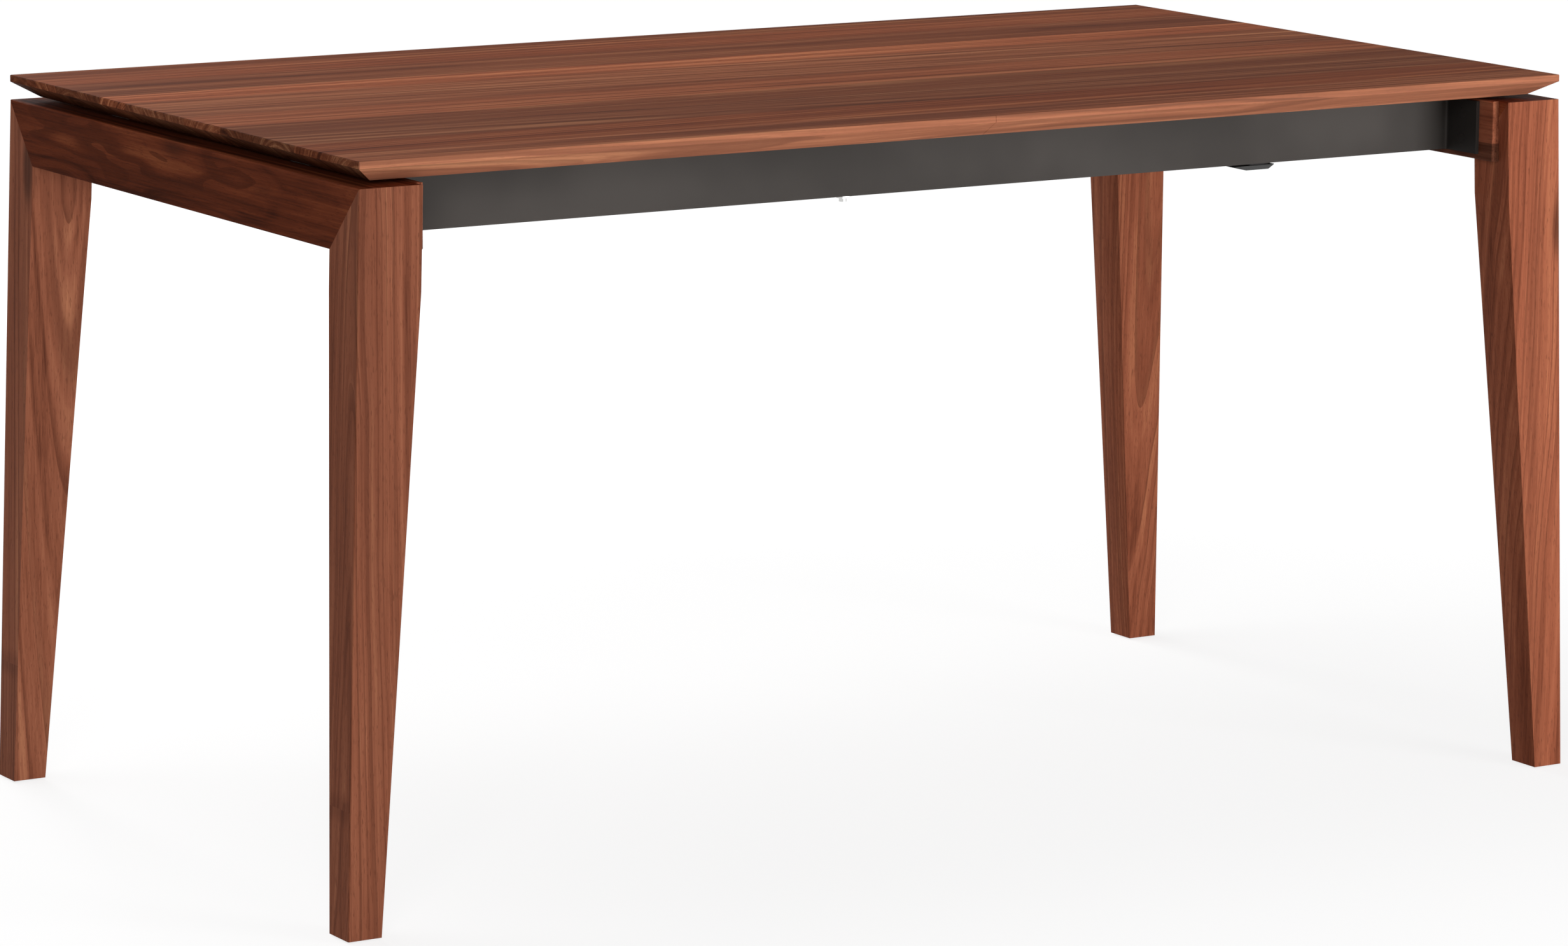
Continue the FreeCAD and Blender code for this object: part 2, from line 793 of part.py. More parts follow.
def leaf_board(way):
    """Half of the leaf, below the fold line for way -1 and above it for way 1."""
    face = leaf_fold + way * top_thickness
    band = face - way * edge_band
    outline = [(leaf_hinge_y, leaf_fold), (leaf_hinge_y, face), (leaf_edge_y, face),
               (leaf_edge_y, band), (leaf_edge_y + bevel_inset, leaf_fold)]
    board = prism_x(outline, -leaf_half_length, leaf_half_length)
    z = leaf_fold + way * top_thickness / 2
    for row in dowel_rows:
        y = leaf_hinge_y - row
        hole = bar(-leaf_half_length, y, z, dowel_radius + glue_clearance, dowel_depth, X_AXIS)
        depth = dowel_reach + hole_play
        socket = bar(leaf_half_length - depth, y, z, dowel_radius + dowel_clearance, depth, X_AXIS)
        board = board.cut(hole).cut(socket)
    for x in hinge_places():
        half = hinge_length / 2 + glue_clearance
        pocket = hinge_sheet + hinge_play + glue_clearance
        low, high = sorted((leaf_fold, leaf_fold + way * pocket))
        board = board.cut(box(x - half, x + half, leaf_hinge_y - hinge_width - glue_clearance,
                              leaf_hinge_y + cut_margin, low, high))
    return board


def hinge_places():
    return (-hinge_offset, 0.0, hinge_offset)


def hinge_plate(x, way, knuckles):
    """One plate of a butt hinge, with its knuckles given as pairs of X limits."""
    low, high = sorted((leaf_fold + way * hinge_play, leaf_fold + way * (hinge_play + hinge_sheet)))
    half = hinge_length / 2
    plate = box(x - half, x + half, leaf_hinge_y - hinge_width, leaf_hinge_y, low, high)
    axis_y = leaf_hinge_y + knuckle_radius
    for start, stop in knuckles:
        tube = bar(x + start, axis_y, leaf_fold, knuckle_radius, stop - start, X_AXIS)
        neck = box(x + start, x + stop, leaf_hinge_y, axis_y, low, high)
        plate = plate.fuse([tube, neck])
    bore = bar(x - half, axis_y, leaf_fold, hinge_pin_radius + hinge_play, hinge_length, X_AXIS)
    return plate.cut(bore).removeSplitter()


def hinge_plates():
    half = hinge_length / 2
    knuckle = hinge_length / 6
    gap = 2 * hinge_play
    plates = []
    for x in hinge_places():
        plates.append(hinge_plate(x, -1, [(-half, -knuckle - gap), (knuckle + gap, half)]))
        plates.append(hinge_plate(x, 1, [(-knuckle + gap, knuckle - gap)]))
    return plates


def hinge_pins():
    axis_y = leaf_hinge_y + knuckle_radius
    return [bar(x - hinge_length / 2, axis_y, leaf_fold, hinge_pin_radius, hinge_length, X_AXIS)
            for x in hinge_places()]


def felt_pads():
    pads = []
    for x in (-beam_spacing, beam_spacing):
        for y in (-felt_y, felt_y):
            pads.append(box(x - felt_width / 2, x + felt_width / 2,
                            y - felt_length / 2, y + felt_length / 2, beam_top, leaf_bottom))
    return pads


def corners():
    return [(side, end) for side in (-1, 1) for end in (-1, 1)]


side_names = {-1: "left", 1: "right"}
end_names = {-1: "front", 1: "rear"}
nodes = {}

for side, end in corners():
    nodes["leg_" + end_names[end] + "_" + side_names[side]] = leg(side, end)
for side in (-1, 1):
    nodes["rail_" + side_names[side]] = end_rail(side)
    nodes["tie_board_" + side_names[side]] = tie_board(side)
nodes["mitre_tongues"] = [mitre_tongue(side, end, 0) for side, end in corners()]
nodes["foot_glides"] = [foot_glide(side, end) for side, end in corners()]
nodes["rail_glide_pads"] = [glide_pad(side, end) for side, end in corners()]

nodes["apron_front"] = front_apron()
nodes["apron_rear"] = turned(apron())
nodes["flange_bolts"] = [flange_bolt(place, direction, 0) for side, end in corners()
                         for place, direction in flange_bolt_places(side, end)]
for name, x in zip(("left", "middle", "right"), beam_places()):
    nodes["cross_beam_" + name] = cross_beam(x)
nodes["beam_bolts"] = [beam_bolt(x, end, 0) for x in beam_places() for end in (-1, 1)]

nodes["guide_front"] = guide()
nodes["guide_rear"] = turned(guide())
nodes["runner_left_front"] = runner(-lane_outer)
nodes["runner_left_rear"] = runner(lane_inner)
nodes["runner_right_front"] = turned(runner(lane_inner))
nodes["runner_right_rear"] = turned(runner(-lane_outer))

nodes["top_left"] = top_left()
nodes["top_right"] = top_right()
nodes["top_dowels"] = top_dowels()
nodes["top_screws_left"] = left_screws(0)
nodes["top_screws_right"] = right_screws(0)

nodes["rack_left"] = rack()
nodes["rack_right"] = turned(rack(), 0, pinion_y)
nodes["rack_hanger_left"] = hanger()
nodes["rack_hanger_right"] = turned(hanger(), 0, pinion_y)
nodes["pinion"] = pinion()
nodes["pinion_bracket"] = pinion_bracket()
nodes["pinion_axle"] = pinion_axle()
nodes["axle_nuts"] = axle_nuts()

nodes["lock_bracket"] = lock_bracket()
nodes["lock_pin"] = lock_pin()
nodes["lock_lever"] = lock_lever()
nodes["strike_strip"] = strike()

nodes["leaf_lower"] = leaf_board(-1)
nodes["leaf_upper"] = leaf_board(1)
nodes["leaf_dowels"] = [leaf_dowel(row, z) for row in dowel_rows for z in leaf_levels()]
nodes["leaf_hinge_plates"] = hinge_plates()
nodes["leaf_hinge_pins"] = hinge_pins()
nodes["leaf_felt_pads"] = felt_pads()

os.makedirs("parts", exist_ok=True)
for name, shape in nodes.items():
    solid = Part.makeCompound(shape) if isinstance(shape, list) else shape
    solid.exportStep(os.path.join("parts", name + ".step"))
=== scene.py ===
import json
import math

import bmesh
import bpy
from mathutils import Matrix, Vector

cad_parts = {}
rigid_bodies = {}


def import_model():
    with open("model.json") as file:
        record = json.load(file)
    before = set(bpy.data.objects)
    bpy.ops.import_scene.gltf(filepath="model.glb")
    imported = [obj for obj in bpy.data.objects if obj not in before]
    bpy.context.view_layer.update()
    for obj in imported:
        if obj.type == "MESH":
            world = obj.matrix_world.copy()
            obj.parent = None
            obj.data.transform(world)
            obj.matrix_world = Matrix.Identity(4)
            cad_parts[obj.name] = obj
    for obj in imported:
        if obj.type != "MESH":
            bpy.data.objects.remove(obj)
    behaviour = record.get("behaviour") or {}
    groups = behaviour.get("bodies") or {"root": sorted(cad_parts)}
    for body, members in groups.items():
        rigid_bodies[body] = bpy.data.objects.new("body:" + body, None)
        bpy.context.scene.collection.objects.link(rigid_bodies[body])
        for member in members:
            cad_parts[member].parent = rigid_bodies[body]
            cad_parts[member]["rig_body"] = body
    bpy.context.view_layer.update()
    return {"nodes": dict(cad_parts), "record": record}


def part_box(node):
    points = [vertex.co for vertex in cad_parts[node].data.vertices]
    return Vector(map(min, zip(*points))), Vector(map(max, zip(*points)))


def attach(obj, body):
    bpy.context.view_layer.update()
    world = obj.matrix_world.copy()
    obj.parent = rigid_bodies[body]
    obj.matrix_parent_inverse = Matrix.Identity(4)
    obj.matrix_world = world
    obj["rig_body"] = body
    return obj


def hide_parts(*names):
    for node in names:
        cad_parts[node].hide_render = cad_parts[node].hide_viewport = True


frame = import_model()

record = frame["record"]
nodes = frame["nodes"]
scene = bpy.context.scene

# Wood figure: cells per metre along the grain and across it.
WANDER_RATES = (1.6, 7.0)         # slow bending of the grain
KNOT_RATES = (2.6, 9.0)
STREAK_RATES = (1.1, 48.0)
LONG_STREAK_RATES = (0.7, 22.0)
FIBRE_RATES = (11.0, 520.0)
PORE_RATES = (95.0, 950.0)

# Heart of the tree as seen from a stave, in metres, each times a random number of the stave.
HEART_SIDE = 0.11
HEART_DEPTH, HEART_NEAREST = 0.07, 0.012
HEART_LEAN = 0.10                 # metres per metre along the grain
DEPTH_DRIFT = 0.6                 # share of the grain's bending that goes into the depth

# Numbers that carry one stave's figure away from the next one's.
STAVE_SHIFT, RING_SHIFT, LINE_SHIFT = 41.0, 60.0, 9.0

RING_NOISE_RATE = 190.0           # soft colour rings per metre of radius
UNEVEN_RATE, UNEVEN_REACH = 28.0, 7.0
LATE_WOOD_END = 0.98              # place in a ring where its dark line is full
FIBRE_SHARE = 0.2                 # of the tone; rings and streaks share the rest
TONE_STOPS = (0.38, 0.47, 0.53, 0.63)
TINT_POWER, TINT_MEAN = 1.8, 0.36
WARM_TINT, COOL_TINT = (1.07, 0.95, 0.88, 1.0), (0.96, 1.03, 1.06, 1.0)
GLUE_DARK, GLUE_CLEAR, GLUE_SHARE = 0.0001, 0.0006, 0.35   # metres, metres, share of dark
DARKER_BELOW_FADE = 0.0004               # metres to each side of the height below which the colour is darker
FIBRE_HEIGHT, PORE_DEPTH = 0.5, 0.6
WOOD_BUMP, WOOD_BUMP_HEIGHT = 0.18, 0.0006


class Web:
    """Wires the shader nodes of one material."""

    def __init__(self, name):
        self.material = bpy.data.materials.new(name)
        self.material.use_nodes = True
        self.tree = self.material.node_tree
        self.tree.nodes.clear()
        self.surface = self.add("ShaderNodeBsdfPrincipled")
        output = self.add("ShaderNodeOutputMaterial")
        self.tree.links.new(self.surface.outputs[0], output.inputs[0])

    def add(self, kind, **settings):
        node = self.tree.nodes.new(kind)
        for key, value in settings.items():
            setattr(node, key, value)
        return node

    def put(self, socket, value):
        if isinstance(value, bpy.types.NodeSocket):
            self.tree.links.new(value, socket)
        else:
            socket.default_value = value

    def math(self, operation, a, b=0.0):
        node = self.add("ShaderNodeMath", operation=operation)
        self.put(node.inputs[0], a)
        self.put(node.inputs[1], b)
        return node.outputs[0]

    def times(self, a, b):
        return self.math("MULTIPLY", a, b)

    def plus(self, a, b):
        return self.math("ADD", a, b)

    def scaled(self, value, factor, offset):
        node = self.add("ShaderNodeMath", operation="MULTIPLY_ADD")
        for socket, number in zip(node.inputs, (value, factor, offset)):
            self.put(socket, number)
        return node.outputs[0]

    def rise(self, value, low, high):
        """0 below low, 1 above high, smooth between; turned round where low is the larger."""
        node = self.add("ShaderNodeMapRange", interpolation_type="SMOOTHSTEP")
        self.put(node.inputs["Value"], value)
        node.inputs["From Min"].default_value = min(low, high)
        node.inputs["From Max"].default_value = max(low, high)
        node.inputs["To Min"].default_value = 0.0 if low < high else 1.0
        node.inputs["To Max"].default_value = 1.0 if low < high else 0.0
        return node.outputs["Result"]

    def vector(self, x, y, z):
        node = self.add("ShaderNodeCombineXYZ")
        for socket, value in zip(node.inputs, (x, y, z)):
            self.put(socket, value)
        return node.outputs[0]

    def split(self, value):
        node = self.add("ShaderNodeSeparateXYZ")
        self.put(node.inputs[0], value)
        return node.outputs

    def place(self):
        """Coordinates that ride with the piece, in metres."""
        return self.split(self.add("ShaderNodeTexCoord").outputs["Object"])

    def facing(self):
        """How far a face looks along each of the piece's own axes, either way."""
        normal = self.add("ShaderNodeTexCoord").outputs["Normal"]
        return [self.math("ABSOLUTE", value) for value in self.split(normal)]

    def noise(self, vector, scale=1.0, detail=3.0, roughness=0.55):
        node = self.add("ShaderNodeTexNoise", noise_dimensions="3D")
        self.put(node.inputs["Vector"], vector)
        node.inputs["Scale"].default_value = scale
        node.inputs["Detail"].default_value = detail
        node.inputs["Roughness"].default_value = roughness
        return node.outputs["Fac"]

    def noise_along(self, w, detail, roughness=0.6):
        node = self.add("ShaderNodeTexNoise", noise_dimensions="1D")
        self.put(node.inputs["W"], w)
        node.inputs["Scale"].default_value = 1.0
        node.inputs["Detail"].default_value = detail
        node.inputs["Roughness"].default_value = roughness
        return node.outputs["Fac"]

    def cells(self, w, randomness):
        """Strips along a line: three random numbers, the place in the strip, distance to its edge."""
        strip = self.add("ShaderNodeTexVoronoi", voronoi_dimensions="1D", feature="F1")
        edge = self.add("ShaderNodeTexVoronoi", voronoi_dimensions="1D", feature="DISTANCE_TO_EDGE")
        for node in (strip, edge):
            self.put(node.inputs["W"], w)
            node.inputs["Scale"].default_value = 1.0
            node.inputs["Randomness"].default_value = randomness
        inside = self.math("SUBTRACT", w, strip.outputs["W"])
        return self.split(strip.outputs["Color"]), inside, edge.outputs["Distance"]

    def mix(self, factor, a, b, blend="MIX"):
        node = self.add("ShaderNodeMix", data_type="RGBA", blend_type=blend)
        self.put(node.inputs[0], factor)
        self.put(node.inputs[6], a)
        self.put(node.inputs[7], b)
        return node.outputs[2]

    def dimmed(self, shade, level):
        """The shade times a level that changes over the surface."""
        return self.mix(1.0, shade, self.vector(level, level, level), "MULTIPLY")

    def ramp(self, factor, stops):
        node = self.add("ShaderNodeValToRGB")
        elements = node.color_ramp.elements
        while len(elements) < len(stops):
            elements.new(0.5)
        for element, (position, shade) in zip(elements, stops):
            element.position = position
            element.color = shade
        self.put(node.inputs[0], factor)
        return node.outputs[0]

    def bump(self, height, strength, distance):
        node = self.add("ShaderNodeBump")
        self.put(node.inputs["Height"], height)
        node.inputs["Strength"].default_value = strength
        node.inputs["Distance"].default_value = distance
        self.put(self.surface.inputs["Normal"], node.outputs[0])

    def set(self, **values):
        for key, value in values.items():
            self.put(self.surface.inputs[key.replace("_", " ")], value)


def colour(red, green, blue):
    """Linear colour from the usual 0 to 255 values."""
    def linear(value):
        value /= 255
        return value / 12.92 if value <= 0.04045 else ((value + 0.055) / 1.055) ** 2.4
    return (linear(red), linear(green), linear(blue), 1.0)


def toned(base, factor):
    """A colour made lighter or darker."""
    return tuple(min(1.0, value * factor) for value in base[:3]) + (1.0,)


def wood(name, axes, stave, palette, seed=0.0, layer=0.0, middle=0.0, variety=0.8, spread=0.4, streaks=0.4,
         knots=0.0, knot_pull=0.012, bend=0.02, ring_share=0.35, ring_rate=210.0, ring_lines=0.45,
         line_start=0.45, contrast=1.0, pore_share=0.3, edges=None, darker_below=None, gloss=0.03,
         roughness=0.58):
    """Solid wood in glued staves: axes name the directions of grain, width and thickness."""
    web = Web(name)
    dark = palette[0]
    place = dict(zip("XYZ", web.place()))
    along, across, through = (place[letter] for letter in axes)

    # Staves in the width and, where asked, layers in the thickness.
    randoms, inside, edge = web.cells(web.scaled(across, 1 / stave, seed), variety)
    width_place = web.times(inside, stave)
    seams = web.rise(edge, GLUE_CLEAR / stave, GLUE_DARK / stave)
    depth_place = web.plus(through, -middle)
    if layer:
        layer_randoms, layer_inside, edge = web.cells(web.scaled(through, 1 / layer, seed + 3.0), variety)
        randoms = [web.math("FRACT", web.plus(a, b)) for a, b in zip(randoms, layer_randoms)]
        depth_place = web.times(layer_inside, layer)
        seams = web.math("MAXIMUM", seams, web.rise(edge, GLUE_CLEAR / layer, GLUE_DARK / layer))
    first, second, third = randoms
    long_way = web.plus(along, web.times(first, STAVE_SHIFT))

    def stretched(rates):
        """Point for a noise that is drawn out along the grain."""
        lengthwise, crosswise = rates
        return web.vector(web.times(long_way, lengthwise), web.times(across, crosswise),
                          web.times(through, crosswise))

    # Distance from the heart of the tree, with bends and knots in the grain.
    drift = web.scaled(web.noise(stretched(WANDER_RATES)), 2 * bend, -bend)
    if knots:
        spots = web.add("ShaderNodeTexVoronoi", voronoi_dimensions="3D", feature="F1")
        web.put(spots.inputs["Vector"], stretched(KNOT_RATES))
        spots.inputs["Scale"].default_value = 1.0
        knot_distance = spots.outputs["Distance"]
        drift = web.plus(drift, web.times(web.rise(knot_distance, 0.42, 0.0), knot_pull))
    heart_side = web.scaled(first, HEART_SIDE, -HEART_SIDE / 2)
    heart_depth = web.scaled(second, HEART_DEPTH, HEART_NEAREST)
    lean = web.scaled(third, HEART_LEAN, -HEART_LEAN / 2)
    side = web.plus(web.math("SUBTRACT", width_place, heart_side), web.times(lean, along))
    side = web.plus(side, drift)
    depth = web.plus(web.plus(depth_place, heart_depth), web.times(drift, DEPTH_DRIFT))
    radius = web.math("SQRT", web.plus(web.times(side, side), web.times(depth, depth)))

    # Tone from rings, streaks and fibres.
    ring_place = web.plus(web.times(radius, RING_NOISE_RATE), web.times(second, RING_SHIFT))
    rings = web.noise_along(ring_place, 4.0, 0.62)
    streak = web.noise(stretched(STREAK_RATES), detail=4.0, roughness=0.6)
    fibre = web.noise(stretched(FIBRE_RATES), detail=2.0)
    pore_marks = web.rise(web.noise(stretched(PORE_RATES), detail=1.0), 0.60, 0.70)
    tone = web.plus(web.times(streak, 1 - FIBRE_SHARE - ring_share), web.times(fibre, FIBRE_SHARE))
    tone = web.plus(web.times(rings, ring_share), tone)
    tone = web.scaled(tone, contrast, 0.5 - 0.5 * contrast)
    shade = web.ramp(tone, list(zip(TONE_STOPS, palette)))

    # Late-wood lines, each stave's own tint, then dark streaks, knots, pores and glue lines.
    uneven = web.times(web.noise_along(web.times(radius, UNEVEN_RATE), 2.0), UNEVEN_REACH)
    line_place = web.plus(web.times(radius, ring_rate), web.plus(uneven, web.times(third, LINE_SHIFT)))
    late_wood = web.rise(web.math("FRACT", line_place), line_start, LATE_WOOD_END)
    late_wood = web.times(late_wood, web.rise(streak, 0.30, 0.62))
    shade = web.mix(web.times(late_wood, ring_lines), shade, dark)
    tint = web.scaled(web.math("POWER", second, TINT_POWER), spread, 1 - TINT_MEAN * spread)
    shade = web.dimmed(shade, tint)
    shade = web.mix(1.0, shade, web.mix(third, WARM_TINT, COOL_TINT), "MULTIPLY")
    long_streak = web.rise(web.noise(stretched(LONG_STREAK_RATES)), 0.56, 0.72)
    shade = web.mix(web.times(long_streak, streaks), shade, dark)
    if knots:
        shade = web.mix(web.times(web.rise(knot_distance, 0.14, 0.05), knots), shade, knot_heart)
    shade = web.mix(web.times(pore_marks, pore_share), shade, dark)
    shade = web.mix(web.times(seams, GLUE_SHARE), shade, dark)

    # Edge tones: partly sapwood and oiled end grain, partly painted highlight and painted shade.
    if edges:
        shade = edge_tones(web, shade, **edges)
    # Darker below a given height, by the given factor.
    if darker_below:
        level, factor = darker_below
        below = web.rise(place["Z"], level + DARKER_BELOW_FADE, level - DARKER_BELOW_FADE)
        shade = web.dimmed(shade, web.scaled(below, factor - 1, 1.0))
    web.set(Base_Color=shade, Roughness=web.scaled(fibre, 0.16, roughness - 0.08), Specular_IOR_Level=gloss)
    height = web.math("SUBTRACT", web.times(fibre, FIBRE_HEIGHT), web.times(pore_marks, PORE_DEPTH))
    web.bump(height, WOOD_BUMP, WOOD_BUMP_HEIGHT)
    return web.material


def edge_tones(web, shade, sapwood_and_highlight_share, long_edge_highlight, end_edge, end_bevel_shade):
    """Long edges paler, partly sapwood colour and partly a painted highlight; end grain darker with oil, and
    its bevel darker still with painted shade.
    """
    along, across, _ = web.facing()
    long_side = web.rise(across, 0.25, 0.5)
    upright = web.rise(along, 0.7, 0.9)
    sloping = web.math("SUBTRACT", web.rise(along, 0.25, 0.45), upright)
    # Long edges: sapwood colour mixed in, then lifted by a painted highlight.
    shade = web.mix(web.times(long_side, sapwood_and_highlight_share), shade, sapwood_and_highlight)
    level = web.scaled(long_side, long_edge_highlight - 1, 1.0)
    # The end bevel's darkening beyond the end grain's is painted shade.
    level = web.plus(level, web.plus(web.times(upright, end_edge - 1), web.times(sloping, end_bevel_shade - 1)))
    return web.dimmed(shade, level)


def coated(name, base, roughness, gloss=0.2, end_face_shade=1.0):
    """Powder-coated sheet: a fine orange peel and faint changes of shade; faces looking along X may be
    darkened, partly a darker coat and partly painted shade.
    """
    web = Web(name)
    spot = web.vector(*web.place())
    cloud = web.noise(spot, 4.0)
    peel = web.noise(spot, 900.0, 2.0)
    shade = web.mix(web.rise(cloud, 0.35, 0.65), toned(base, 0.84), toned(base, 1.22))
    # Faces along X darkened: partly a darker coat, partly painted shade.
    if end_face_shade < 1.0:
        end = web.rise(web.facing()[0], 0.6, 0.9)
        shade = web.dimmed(shade, web.scaled(end, end_face_shade - 1, 1.0))
    web.set(Base_Color=shade, Roughness=web.scaled(peel, 0.14, roughness - 0.07), Specular_IOR_Level=gloss)
    web.bump(peel, 0.10, 0.0003)
    return web.material


def bare_metal(name, base, roughness, brush=(1.0, 1.0, 1.0), depth=0.06):
    """Plated or bare metal with drawn or ground marks."""
    web = Web(name)
    x, y, z = web.place()
    drawn = web.vector(*(web.times(value, factor) for value, factor in zip((x, y, z), brush)))
    marks = web.noise(drawn, 700.0)
    cloud = web.noise(web.vector(x, y, z), 30.0)
    web.set(Base_Color=web.mix(web.rise(cloud, 0.3, 0.7), toned(base, 0.82), base), Metallic=1.0,
            Roughness=web.scaled(marks, 0.2, roughness - 0.1))
    web.bump(marks, depth, 0.0002)
    return web.material


def soft_grain(name, base, roughness, scale, depth):
    """Moulded plastic or felt, by the scale of its grain."""
    web = Web(name)
    grain = web.noise(web.vector(*web.place()), scale, 4.0)
    web.set(Base_Color=web.mix(grain, base, toned(base, 1.5)),
            Roughness=web.scaled(grain, 0.2, roughness - 0.1))
    web.bump(grain, depth, 0.0004)
    return web.material


# Palettes from dark lines to pale streaks.
walnut = (colour(82, 42, 28), colour(130, 73, 49), colour(150, 88, 61), colour(190, 126, 89))
walnut_plain = (colour(88, 46, 32), colour(137, 80, 58), colour(152, 92, 68), colour(179, 118, 86))
walnut_dark = (colour(60, 26, 14), colour(96, 46, 28), colour(110, 55, 34), colour(138, 78, 50))
beech_tones = (colour(150, 108, 74), colour(186, 142, 100), colour(203, 162, 118), colour(218, 182, 140))
# Pale colour for the long edges: partly sapwood, partly painted highlight.
sapwood_and_highlight = colour(184, 128, 102)
knot_heart = colour(48, 26, 18)

# Long edges lifted by a painted highlight and end bevels darkened by painted shade, on top of sapwood and
# oiled end grain.
top_wood = wood("walnut_top", "XYZ", 0.07, walnut, seed=2.3, middle=0.739, variety=1.0, streaks=0.6,
                spread=1.2, bend=0.012, ring_share=0.4, gloss=0.012, roughness=0.66,
                edges=dict(sapwood_and_highlight_share=0.25, long_edge_highlight=1.35, end_edge=0.8, end_bevel_shade=0.4))
leaf_wood = wood("walnut_leaf", "XYZ", 0.062, walnut, seed=7.7, middle=0.703)
# Staves and layers wider than a leg, with a leg's middle at a whole number of them: each leg is one board.
leg_wood = wood("walnut_leg", "ZXY", 0.690 / 8, walnut_plain, seed=4.0, layer=0.356 / 4, variety=0.0,
                spread=0.12, streaks=0.3, knots=0.7, bend=0.014, ring_rate=95.0, ring_lines=0.55,
                line_start=0.72, contrast=0.68, pore_share=0.45)
rail_wood = wood("walnut_rail", "YZX", 0.2, walnut_dark, seed=0.3, variety=0.0, spread=0.2, streaks=0.55,
                 knots=0.85, knot_pull=0.005, bend=0.03, ring_rate=150.0, ring_lines=0.6, line_start=0.5,
                 contrast=1.1, pore_share=0.4, gloss=0.012)
# Tie boards darker below 0.679 m.
tie_wood = wood("walnut_tie", "YZX", 0.045, walnut_plain, seed=0.41, variety=0.0, spread=0.2,
                darker_below=(0.679, 0.45))
beech = wood("beech", "XYZ", 0.04, beech_tones, seed=3.3, spread=0.15, streaks=0.1)
# Flange faces darkened to 0.4: partly a darker coat, partly painted shade of their recess under the top.
apron_steel = coated("apron_steel", colour(68, 64, 61), 0.5, gloss=0.05, end_face_shade=0.4)
black_steel = coated("black_steel", colour(22, 21, 20), 0.45)
aluminium = bare_metal("guide_aluminium", colour(196, 198, 200), 0.36, (0.02, 1.0, 1.0))
zinc = bare_metal("zinc_steel", colour(182, 183, 180), 0.34)
bright = bare_metal("bright_steel", colour(214, 214, 212), 0.2, depth=0.02)
brass = bare_metal("brass", colour(190, 152, 84), 0.32)
nylon = soft_grain("nylon", colour(46, 43, 40), 0.55, 900.0, 0.15)
felt = soft_grain("felt", colour(74, 62, 52), 0.95, 1600.0, 0.6)

slot_material = {
    "walnut_top": top_wood, "walnut_frame": leg_wood, "walnut_leaf": leaf_wood, "beech": beech,
    "apron_steel": apron_steel, "black_steel": black_steel, "guide_aluminium": aluminium, "zinc_steel": zinc,
    "bright_steel": bright, "brass": brass, "nylon": nylon, "felt": felt,
}
# Nodes whose look differs from the rest of their slot.
own_material = {
    "rail_left": rail_wood, "rail_right": rail_wood, "tie_board_left": tie_wood, "tie_board_right": tie_wood,
    "flange_bolts": apron_steel,
}
node_slot = {part["node"]: part["material_slot"] for part in record["subparts"]}


def material_of(node):
    return own_material.get(node) or slot_material[node_slot[node]]


for name, item in nodes.items():
    item.data.materials.clear()
    item.data.materials.append(material_of(name))


def add_piece(name, shape, material):
    """Object in the scene from a finished bmesh, which is freed."""
    mesh = bpy.data.meshes.new(name)
    shape.to_mesh(mesh)
    shape.free()
    mesh.materials.append(material)
    piece = bpy.data.objects.new(name, mesh)
    scene.collection.objects.link(piece)
    return piece


def eased(name, width, shortest=0.02):
    """Copy of a CAD node with its long convex edges rounded, standing for that node."""
    flat, corner, slant = math.radians(0.8), math.radians(30), 0.4
    shape = bmesh.new()
    shape.from_mesh(nodes[name].data)
    bmesh.ops.remove_doubles(shape, verts=shape.verts, dist=1e-6)
    bmesh.ops.dissolve_limit(shape, angle_limit=flat, verts=shape.verts, edges=shape.edges)

    def slanted(face):
        return abs(face.normal.y) > slant and abs(face.normal.z) > slant

    def long_corner(edge):
        if len(edge.link_faces) != 2 or edge.calc_length() < shortest or not edge.is_convex:
            return False
        return edge.calc_face_angle() > corner and not any(slanted(face) for face in edge.link_faces)

    corners = [edge for edge in shape.edges if long_corner(edge)]
    bmesh.ops.bevel(shape, geom=corners, offset=width, segments=3, profile=0.5, affect="EDGES",
                    clamp_overlap=True)
    piece = add_piece(name + "_eased", shape, material_of(name))
    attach(piece, nodes[name]["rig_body"])
    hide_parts(name)


for side in ("left", "right"):
    eased("tie_board_" + side, 0.0012)
    for end in ("front", "rear"):
        eased("leg_" + end + "_" + side, 0.0015)
for end in ("front", "rear"):
    eased("apron_" + end, 0.0008)
eased("lock_lever", 0.0008, 0.012)


def joint_lip(seat=0.0004, reach=0.0002, inset=0.0015, drop=0.0004, depth=0.006):
    """Thin lip on the left half that closes the view through the middle joint of the top."""
    low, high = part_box("top_left")
    lip_size = (seat + reach, high.y - low.y - 2 * inset, depth)
    middle = (high.x + (reach - seat) / 2, (low.y + high.y) / 2, high.z - drop - depth / 2)
    shape = bmesh.new()
    bmesh.ops.create_cube(shape, size=1.0,
                          matrix=Matrix.Translation(middle) @ Matrix.Diagonal((*lip_size, 1.0)))
    piece = add_piece("joint_lip", shape, top_wood)
    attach(piece, nodes["top_left"]["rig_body"])


joint_lip()


def place_camera():
    """Camera of the photograph, from a fit to the corners of the top and the feet."""
    position = (-3.3250, -5.3678, 1.5042)
    yaw, pitch, roll = 0.554, 0.1847, 0.0064
    forward = Vector((math.sin(yaw) * math.cos(pitch), math.cos(yaw) * math.cos(pitch), -math.sin(pitch)))
    right = Vector((math.cos(yaw), -math.sin(yaw), 0.0))
    up = right.cross(forward)
    right_axis = right * math.cos(roll) + up * math.sin(roll)
    up_axis = up * math.cos(roll) - right * math.sin(roll)
    data = bpy.data.cameras.new("camera")
    data.sensor_fit = "HORIZONTAL"
    data.sensor_width = 36.0
    data.lens = 138.84
    data.clip_end = 200.0
    camera = bpy.data.objects.new("camera", data)
    scene.collection.objects.link(camera)
    turn = Matrix((right_axis, up_axis, -forward)).transposed().to_4x4()
    camera.matrix_world = Matrix.Translation(position) @ turn
    scene.camera = camera


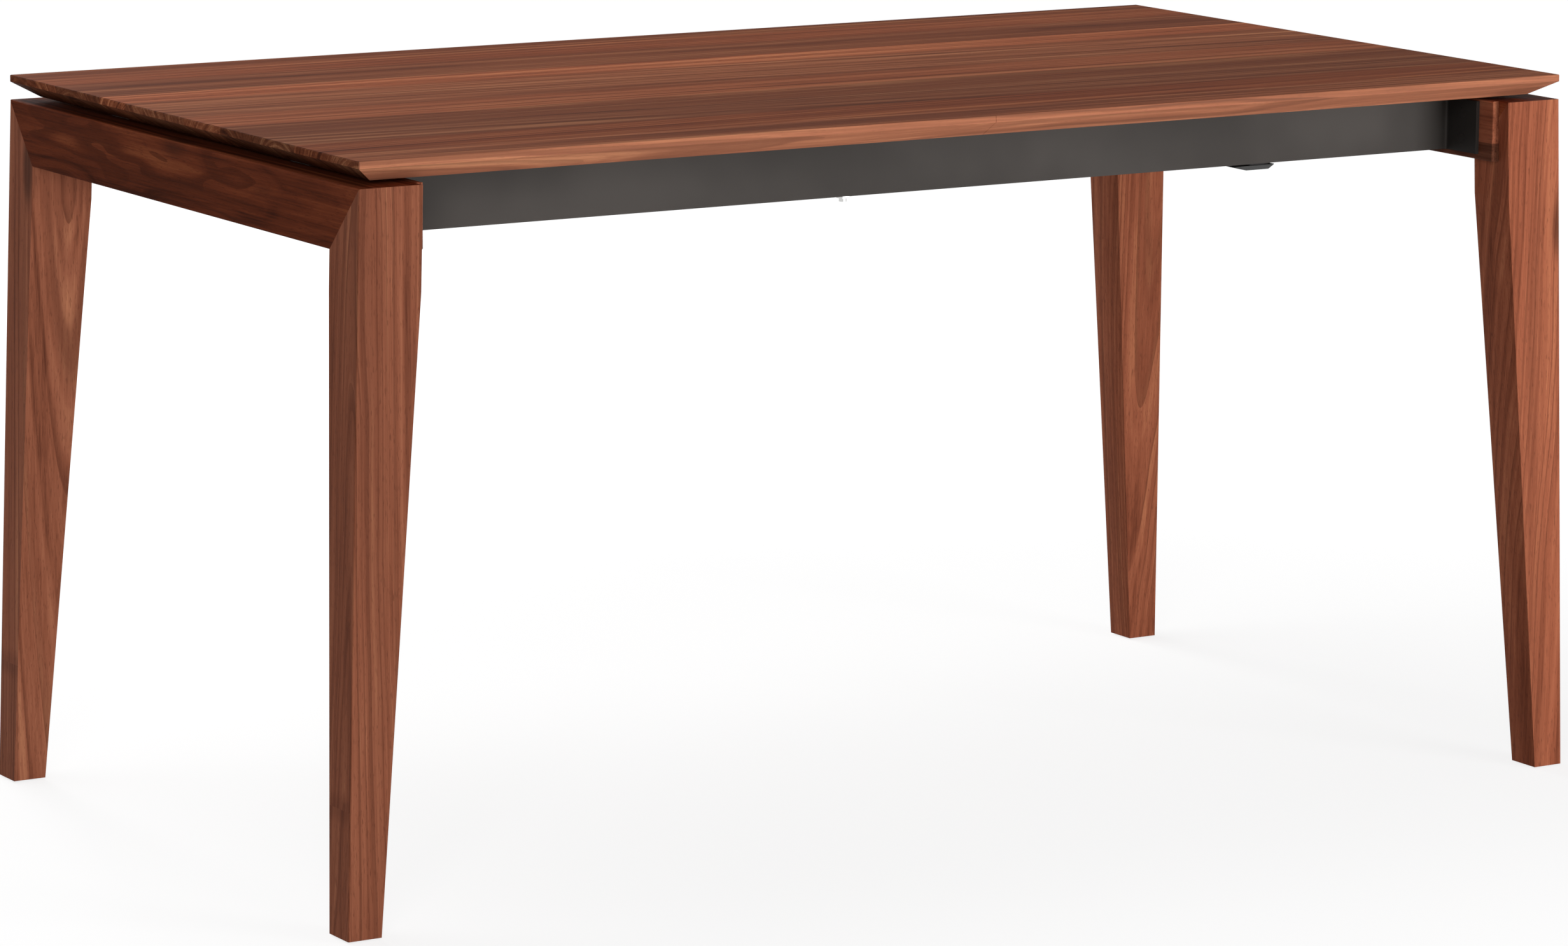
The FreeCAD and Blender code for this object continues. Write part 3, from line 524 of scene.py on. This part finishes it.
def seen_directly(tree):
    """1 for rays that show the surroundings: camera, glossy and transmission rays."""
    path = tree.nodes.new("ShaderNodeLightPath")
    total = path.outputs["Is Camera Ray"]
    for name in ("Is Glossy Ray", "Is Transmission Ray"):
        step = tree.nodes.new("ShaderNodeMath")
        step.operation = "MAXIMUM"
        tree.links.new(total, step.inputs[0])
        tree.links.new(path.outputs[name], step.inputs[1])
        total = step.outputs[0]
    return total


def by_ray(tree, unseen, seen, output_kind):
    """Ends a tree in one shader for light that bounces and another for what is seen directly."""
    choice = tree.nodes.new("ShaderNodeMixShader")
    tree.links.new(seen_directly(tree), choice.inputs[0])
    tree.links.new(unseen.outputs[0], choice.inputs[1])
    tree.links.new(seen.outputs[0], choice.inputs[2])
    output = tree.nodes.new(output_kind)
    tree.links.new(choice.outputs[0], output.inputs[0])


def make_floor(half=30.0, bounce=0.75, shaded=0.26, glow_from=(0.8, 0.82), glow_to=(3.0, 0.98)):
    """Pale floor that looks white and keeps the shadow; its glow is given as (distance, strength)."""
    material = bpy.data.materials.new("floor")
    material.use_nodes = True
    tree = material.node_tree
    tree.nodes.clear()
    plain = tree.nodes.new("ShaderNodeBsdfDiffuse")
    plain.inputs["Color"].default_value = (bounce, bounce, bounce, 1.0)
    shadow = tree.nodes.new("ShaderNodeBsdfDiffuse")
    shadow.inputs["Color"].default_value = (shaded, shaded, shaded, 1.0)
    spot = tree.nodes.new("ShaderNodeTexCoord")
    reach = tree.nodes.new("ShaderNodeVectorMath")
    reach.operation = "LENGTH"
    tree.links.new(spot.outputs["Object"], reach.inputs[0])
    level = tree.nodes.new("ShaderNodeMapRange")
    level.interpolation_type = "SMOOTHSTEP"
    for limit, (distance, strength) in (("Min", glow_from), ("Max", glow_to)):
        level.inputs["From " + limit].default_value = distance
        level.inputs["To " + limit].default_value = strength
    tree.links.new(reach.outputs["Value"], level.inputs["Value"])
    glow = tree.nodes.new("ShaderNodeEmission")
    tree.links.new(level.outputs["Result"], glow.inputs["Strength"])
    both = tree.nodes.new("ShaderNodeAddShader")
    tree.links.new(shadow.outputs[0], both.inputs[0])
    tree.links.new(glow.outputs[0], both.inputs[1])
    by_ray(tree, plain, both, "ShaderNodeOutputMaterial")
    shape = bmesh.new()
    bmesh.ops.create_grid(shape, x_segments=4, y_segments=4, size=half)
    add_piece("floor", shape, material)


def make_world(soft=0.12, white=1.0):
    """Soft light from all round, seen as white."""
    world = bpy.data.worlds.new("world")
    scene.world = world
    world.use_nodes = True
    tree = world.node_tree
    tree.nodes.clear()
    skies = []
    for strength in (soft, white):
        sky = tree.nodes.new("ShaderNodeBackground")
        sky.inputs["Color"].default_value = (1.0, 1.0, 1.0, 1.0)
        sky.inputs["Strength"].default_value = strength
        skies.append(sky)
    by_ray(tree, *skies, "ShaderNodeOutputWorld")


def softbox(name, position, target, size, power):
    """Square lamp, in metres and watts, turned to its target."""
    data = bpy.data.lights.new(name, "AREA")
    data.shape = "SQUARE"
    data.size = size
    data.energy = power
    lamp = bpy.data.objects.new(name, data)
    scene.collection.objects.link(lamp)
    way = Vector(target) - Vector(position)
    lamp.matrix_world = Matrix.Translation(position) @ way.to_track_quat("-Z", "Y").to_matrix().to_4x4()


place_camera()
make_floor()
make_world()
softbox("key", (1.75, -3.5, 0.2), (0.0, 0.0, 0.55), 1.6, 158.0)
softbox("overhead", (-0.8, 1.1, 3.2), (0.0, 0.0, 0.7), 2.6, 50.0)
softbox("fill", (-3.9, -5.0, 2.5), (0.0, 0.0, 0.5), 2.0, 104.0)
softbox("back", (-0.1, 4.6, 1.7), (0.0, 0.0, 0.55), 1.3, 60.0)
scene.view_settings.view_transform = "Standard"
